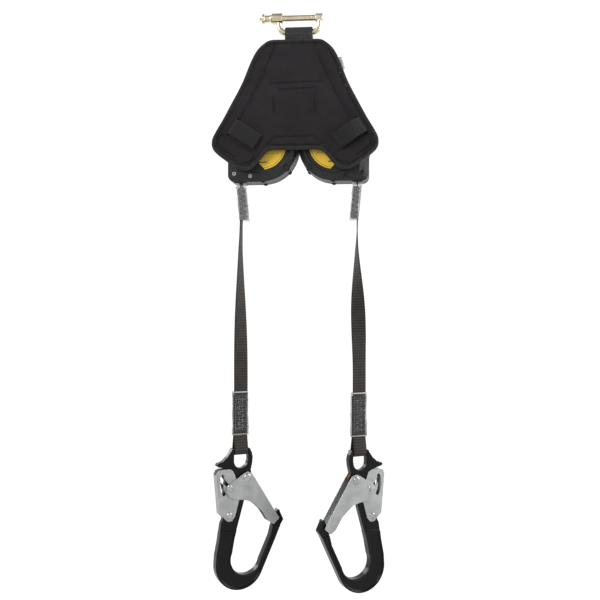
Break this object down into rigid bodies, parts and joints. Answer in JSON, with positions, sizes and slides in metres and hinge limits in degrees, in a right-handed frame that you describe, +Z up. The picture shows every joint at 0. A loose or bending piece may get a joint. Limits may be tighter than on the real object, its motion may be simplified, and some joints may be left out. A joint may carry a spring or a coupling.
{
  "type": "twin-leg self-retracting lanyard",
  "caption": "Fall-arrest lanyard: back connector, energy absorber behind a pad, round webbing reels, webbing legs and large scaffold hooks.",
  "frame": {"origin": "middle of the connector pin, which the harness carries", "axes": "+X along the connector pin to the right, +Y towards the wearer's back, +Z up"},
  "size_m": [0.29, 0.0901, 0.9815],
  "materials": {
    "zinc_gold": "satin, pale gold zinc plate",
    "webbing": "woven polyester, ribbed",
    "absorber_fabric": "woven",
    "pad_fabric": "matte neoprene with nylon face",
    "elastic": "ribbed elastic",
    "hook_and_loop": "fuzzy nylon tape",
    "clear_sleeve": "clear vinyl, glossy",
    "pouch": "milky clear vinyl",
    "casing": "fine textured black nylon",
    "casing_rear": "fine textured black nylon",
    "label": "printed film, plain",
    "guide": "smooth",
    "bright_steel": "bright zinc",
    "plated_steel": "satin",
    "spring_steel": "blued satin",
    "drum_plastic": "moulded",
    "black_anodised": "gloss black anodised",
    "hook_plate": "satin silver",
    "copper_spring": "coppery plated wire"
  },
  "bodies": {
    "connector": {"connector_bow": "zinc_gold"},
    "pin": {"locking_pin": "zinc_gold", "pin_knob": "zinc_gold", "button_spring": "bright_steel"},
    "button": {"release_button": "zinc_gold"},
    "absorber": {"absorber_webbing": "absorber_fabric", "absorber_cover": "absorber_fabric", "yoke_plate": "plated_steel", "yoke_bolts": "bright_steel", "back_pad": "pad_fabric", "pad_keeper": "elastic", "label_pouch": "pouch"},
    "tab_left_body": {"tab_left": "hook_and_loop"},
    "reel_left": {"front_cover_left": "casing", "rear_cover_left": "casing_rear", "cover_screws_left": "bright_steel", "label_left": "label", "webbing_guide_left": "guide", "frame_plates_left": "plated_steel", "frame_posts_left": "bright_steel", "drum_axle_left": "bright_steel", "ratchet_ring_left": "plated_steel", "mainspring_left": "spring_steel", "webbing_tail_left": "webbing"},
    "drum_left_body": {"drum_left": "drum_plastic", "webbing_coil_left": "webbing"},
    "pawl_a_left_body": {"pawl_a_left": "plated_steel"},
    "pawl_b_left_body": {"pawl_b_left": "plated_steel"},
    "leg_left": {"webbing_leg_left": "webbing", "upper_sleeve_left": "clear_sleeve", "lower_sleeve_left": "clear_sleeve"},
    "hook_left": {"hook_body_left": "black_anodised", "hook_rivets_left": "bright_steel", "gate_spring_left": "copper_spring"},
    "gate_left": {"hook_gate_left": "hook_plate"},
    "lever_left": {"lock_lever_left": "hook_plate"},
    "tab_right_body": {"tab_right": "hook_and_loop"},
    "reel_right": {"front_cover_right": "casing", "rear_cover_right": "casing_rear", "cover_screws_right": "bright_steel", "label_right": "label", "webbing_guide_right": "guide", "frame_plates_right": "plated_steel", "frame_posts_right": "bright_steel", "drum_axle_right": "bright_steel", "ratchet_ring_right": "plated_steel", "mainspring_right": "spring_steel", "webbing_tail_right": "webbing"},
    "drum_right_body": {"drum_right": "drum_plastic", "webbing_coil_right": "webbing"},
    "pawl_a_right_body": {"pawl_a_right": "plated_steel"},
    "pawl_b_right_body": {"pawl_b_right": "plated_steel"},
    "leg_right": {"webbing_leg_right": "webbing", "upper_sleeve_right": "clear_sleeve", "lower_sleeve_right": "clear_sleeve"},
    "hook_right": {"hook_body_right": "black_anodised", "hook_rivets_right": "bright_steel", "gate_spring_right": "copper_spring"},
    "gate_right": {"hook_gate_right": "hook_plate"},
    "lever_right": {"lock_lever_right": "hook_plate"}
  },
  "joints": [
    {"name": "pin_slide", "type": "slide", "parent": "connector", "child": "pin", "axis": [-1, 0, 0], "range_m": [0, 0.07]},
    {"name": "button_press", "type": "slide", "parent": "pin", "child": "button", "axis": [1, 0, 0], "range_m": [0, 0.003], "stiffness_N_per_m": 600, "springref_m": -0.002, "deforming": ["button_spring"]},
    {"name": "absorber_swing", "type": "hinge", "parent": "connector", "child": "absorber", "pos_m": [0, 0, -0.025], "axis": [1, 0, 0], "range_deg": [-75, 75]},
    {"name": "tab_left_open", "type": "hinge", "parent": "absorber", "child": "tab_left_body", "pos_m": [-0.106, -0.0448, -0.1915], "axis": [-0.5446, 0, -0.8387], "range_deg": [0, 120]},
    {"name": "reel_left_swing", "type": "hinge", "parent": "absorber", "child": "reel_left", "pos_m": [-0.036, 0, -0.146], "axis": [0, 1, 0], "range_deg": [0, 20]},
    {"name": "leg_left_pull", "type": "slide", "parent": "reel_left", "child": "leg_left", "axis": [0, 0, -1], "range_m": [0, 1.8], "stiffness_N_per_m": 5, "springref_m": -4, "deforming": ["webbing_tail_left"]},
    {"name": "drum_left_spin", "type": "hinge", "parent": "reel_left", "child": "drum_left_body", "pos_m": [-0.061, 0, -0.219], "axis": [0, 1, 0], "continuous": true, "deforming": ["mainspring_left"]},
    {"name": "pawl_a_left_swing", "type": "hinge", "parent": "drum_left_body", "child": "pawl_a_left_body", "pos_m": [-0.04415, 0, -0.20486], "axis": [0, 1, 0], "range_deg": [0, 22], "stiffness_Nm_per_rad": 0.004, "springref_deg": -17.19},
    {"name": "pawl_b_left_swing", "type": "hinge", "parent": "drum_left_body", "child": "pawl_b_left_body", "pos_m": [-0.07785, 0, -0.23314], "axis": [0, 1, 0], "range_deg": [0, 22], "stiffness_Nm_per_rad": 0.004, "springref_deg": -17.19},
    {"name": "hook_left_swing", "type": "hinge", "parent": "leg_left", "child": "hook_left", "pos_m": [-0.101, 0, -0.736], "axis": [0.866, 0.5, 0], "range_deg": [-70, 70]},
    {"name": "lever_left_squeeze", "type": "hinge", "parent": "hook_left", "child": "lever_left", "pos_m": [-0.1204, -0.0112, -0.8437], "axis": [-0.5, 0.866, 0], "range_deg": [0, 9], "stiffness_Nm_per_rad": 2, "springref_deg": -6.88},
    {"name": "gate_left_open", "type": "hinge", "parent": "hook_left", "child": "gate_left", "pos_m": [-0.09286, 0.0047, -0.781], "axis": [-0.5, 0.866, 0], "range_deg": [0, 34], "stiffness_Nm_per_rad": 0.25, "springref_deg": -22.92, "deforming": ["gate_spring_left"]},
    {"name": "tab_right_open", "type": "hinge", "parent": "absorber", "child": "tab_right_body", "pos_m": [0.106, -0.0448, -0.1915], "axis": [-0.5446, 0, 0.8387], "range_deg": [0, 120]},
    {"name": "reel_right_swing", "type": "hinge", "parent": "absorber", "child": "reel_right", "pos_m": [0.036, 0, -0.146], "axis": [0, -1, 0], "range_deg": [0, 20]},
    {"name": "leg_right_pull", "type": "slide", "parent": "reel_right", "child": "leg_right", "axis": [0, 0, -1], "range_m": [0, 1.8], "stiffness_N_per_m": 5, "springref_m": -4, "deforming": ["webbing_tail_right"]},
    {"name": "drum_right_spin", "type": "hinge", "parent": "reel_right", "child": "drum_right_body", "pos_m": [0.061, 0, -0.219], "axis": [0, -1, 0], "continuous": true, "deforming": ["mainspring_right"]},
    {"name": "pawl_a_right_swing", "type": "hinge", "parent": "drum_right_body", "child": "pawl_a_right_body", "pos_m": [0.04415, 0, -0.20486], "axis": [0, -1, 0], "range_deg": [0, 22], "stiffness_Nm_per_rad": 0.004, "springref_deg": -17.19},
    {"name": "pawl_b_right_swing", "type": "hinge", "parent": "drum_right_body", "child": "pawl_b_right_body", "pos_m": [0.07785, 0, -0.23314], "axis": [0, -1, 0], "range_deg": [0, 22], "stiffness_Nm_per_rad": 0.004, "springref_deg": -17.19},
    {"name": "hook_right_swing", "type": "hinge", "parent": "leg_right", "child": "hook_right", "pos_m": [0.101, 0, -0.736], "axis": [-0.866, -0.5, 0], "range_deg": [-70, 70]},
    {"name": "lever_right_squeeze", "type": "hinge", "parent": "hook_right", "child": "lever_right", "pos_m": [0.1204, 0.0112, -0.8437], "axis": [0.5, -0.866, 0], "range_deg": [0, 9], "stiffness_Nm_per_rad": 2, "springref_deg": -6.88},
    {"name": "gate_right_open", "type": "hinge", "parent": "hook_right", "child": "gate_right", "pos_m": [0.09286, -0.0047, -0.781], "axis": [0.5, -0.866, 0], "range_deg": [0, 34], "stiffness_Nm_per_rad": 0.25, "springref_deg": -22.92, "deforming": ["gate_spring_right"]}
  ],
  "couplings": [
    {"joint": "drum_left_spin", "follows": "leg_left_pull", "rad_per_m": -31.416},
    {"joint": "pawl_b_left_swing", "follows": "pawl_a_left_swing", "ratio": 1},
    {"joint": "gate_left_open", "follows": "lever_left_squeeze", "ratio": 3.7778},
    {"joint": "drum_right_spin", "follows": "leg_right_pull", "rad_per_m": -31.416},
    {"joint": "pawl_b_right_swing", "follows": "pawl_a_right_swing", "ratio": 1},
    {"joint": "gate_right_open", "follows": "lever_right_squeeze", "ratio": 3.7778}
  ]
}
